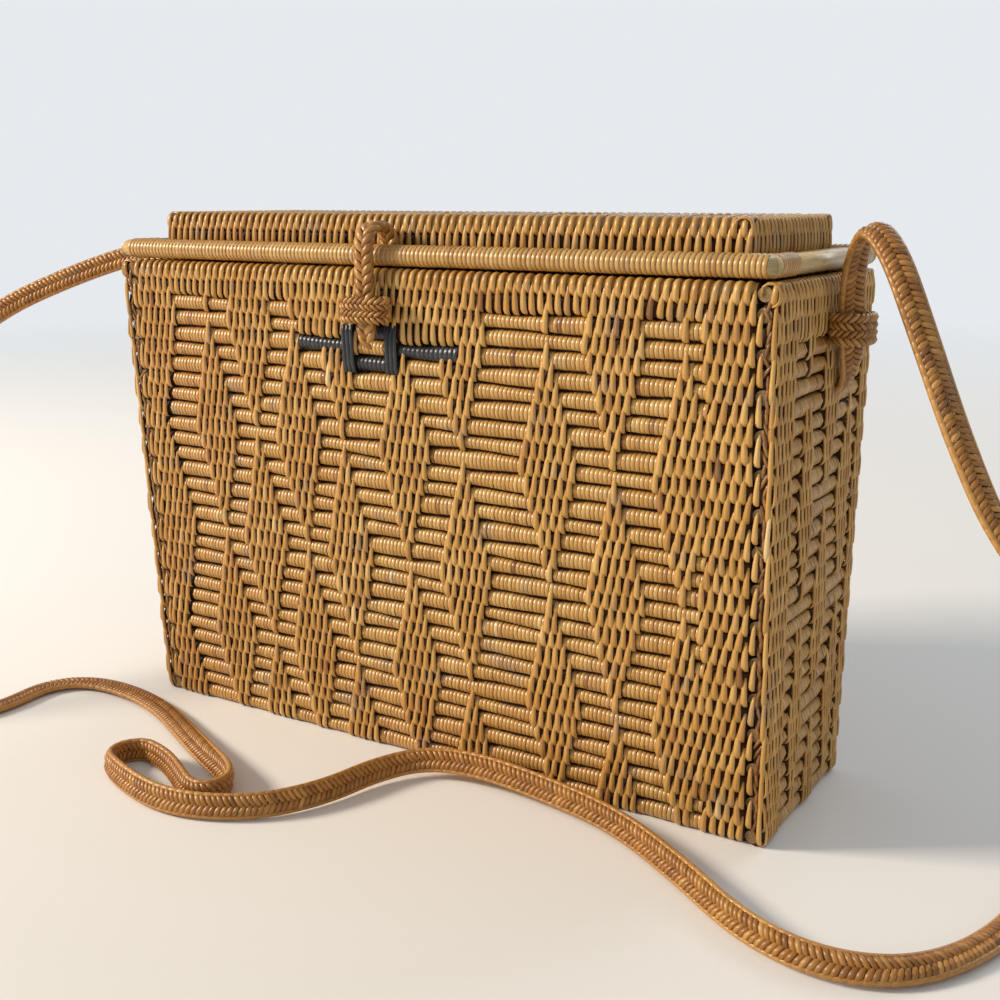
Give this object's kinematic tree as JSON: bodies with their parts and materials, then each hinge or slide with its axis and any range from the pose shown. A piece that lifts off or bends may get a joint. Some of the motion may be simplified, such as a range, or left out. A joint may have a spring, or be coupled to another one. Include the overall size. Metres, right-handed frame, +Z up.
{
  "type": "basket box bag",
  "caption": "Woven rattan box bag with a stepped hinged lid, braided tab closure with sliding ring, and a long braided shoulder strap.",
  "frame": {"origin": "middle of the underside, on the resting plane", "axes": "+X to the right along the long side as seen from the front, -Y out of the front where the closure is, +Z up"},
  "size_m": [0.5289, 0.1811, 0.2012],
  "materials": {
    "woven_rods": "wrapped and stitched vine splint, smoked golden brown, thin satin lacquer",
    "rim_rods": "rods tightly wound with narrow splint, satin",
    "lacing_cane": "split cane, satin",
    "dyed_splint": "splint dyed black, slight gloss",
    "braided_splint": "flat plaited splint, smooth edges, satin"
  },
  "bodies": {
    "basket": {"front_wall": "woven_rods", "back_wall": "woven_rods", "left_wall": "woven_rods", "right_wall": "woven_rods", "base_panel": "woven_rods", "corner_lacing_front_left": "lacing_cane", "corner_lacing_front_right": "lacing_cane", "corner_lacing_back_left": "lacing_cane", "corner_lacing_back_right": "lacing_cane", "hinge_loop_left": "lacing_cane", "hinge_loop_right": "lacing_cane", "catch_frame": "dyed_splint", "catch_band_left": "dyed_splint", "catch_band_right": "dyed_splint", "strap_keeper_left": "braided_splint", "strap_keeper_right": "braided_splint", "strap": "braided_splint"},
    "lid": {"lid_rim_front": "rim_rods", "lid_rim_back": "rim_rods", "lid_rim_left": "rim_rods", "lid_rim_right": "rim_rods", "lid_front_wall": "woven_rods", "lid_back_wall": "woven_rods", "lid_left_wall": "woven_rods", "lid_right_wall": "woven_rods", "lid_top": "woven_rods", "closure_loop": "braided_splint"},
    "tab": {"closure_tab": "braided_splint"},
    "ring": {"closure_ring": "braided_splint"}
  },
  "joints": [
    {"name": "lid_hinge", "type": "hinge", "parent": "basket", "child": "lid", "pos_m": [0, 0.0434, 0.1868], "axis": [-1, 0, 0], "range_deg": [0, 105]},
    {"name": "tab_hinge", "type": "hinge", "parent": "lid", "child": "tab", "pos_m": [-0.0114, -0.0526, 0.178], "axis": [-1, 0, 0], "range_deg": [0, 90]},
    {"name": "ring_slide", "type": "slide", "parent": "tab", "child": "ring", "axis": [0, 0, 1], "range_m": [-0.001, 0.0045]}
  ]
}
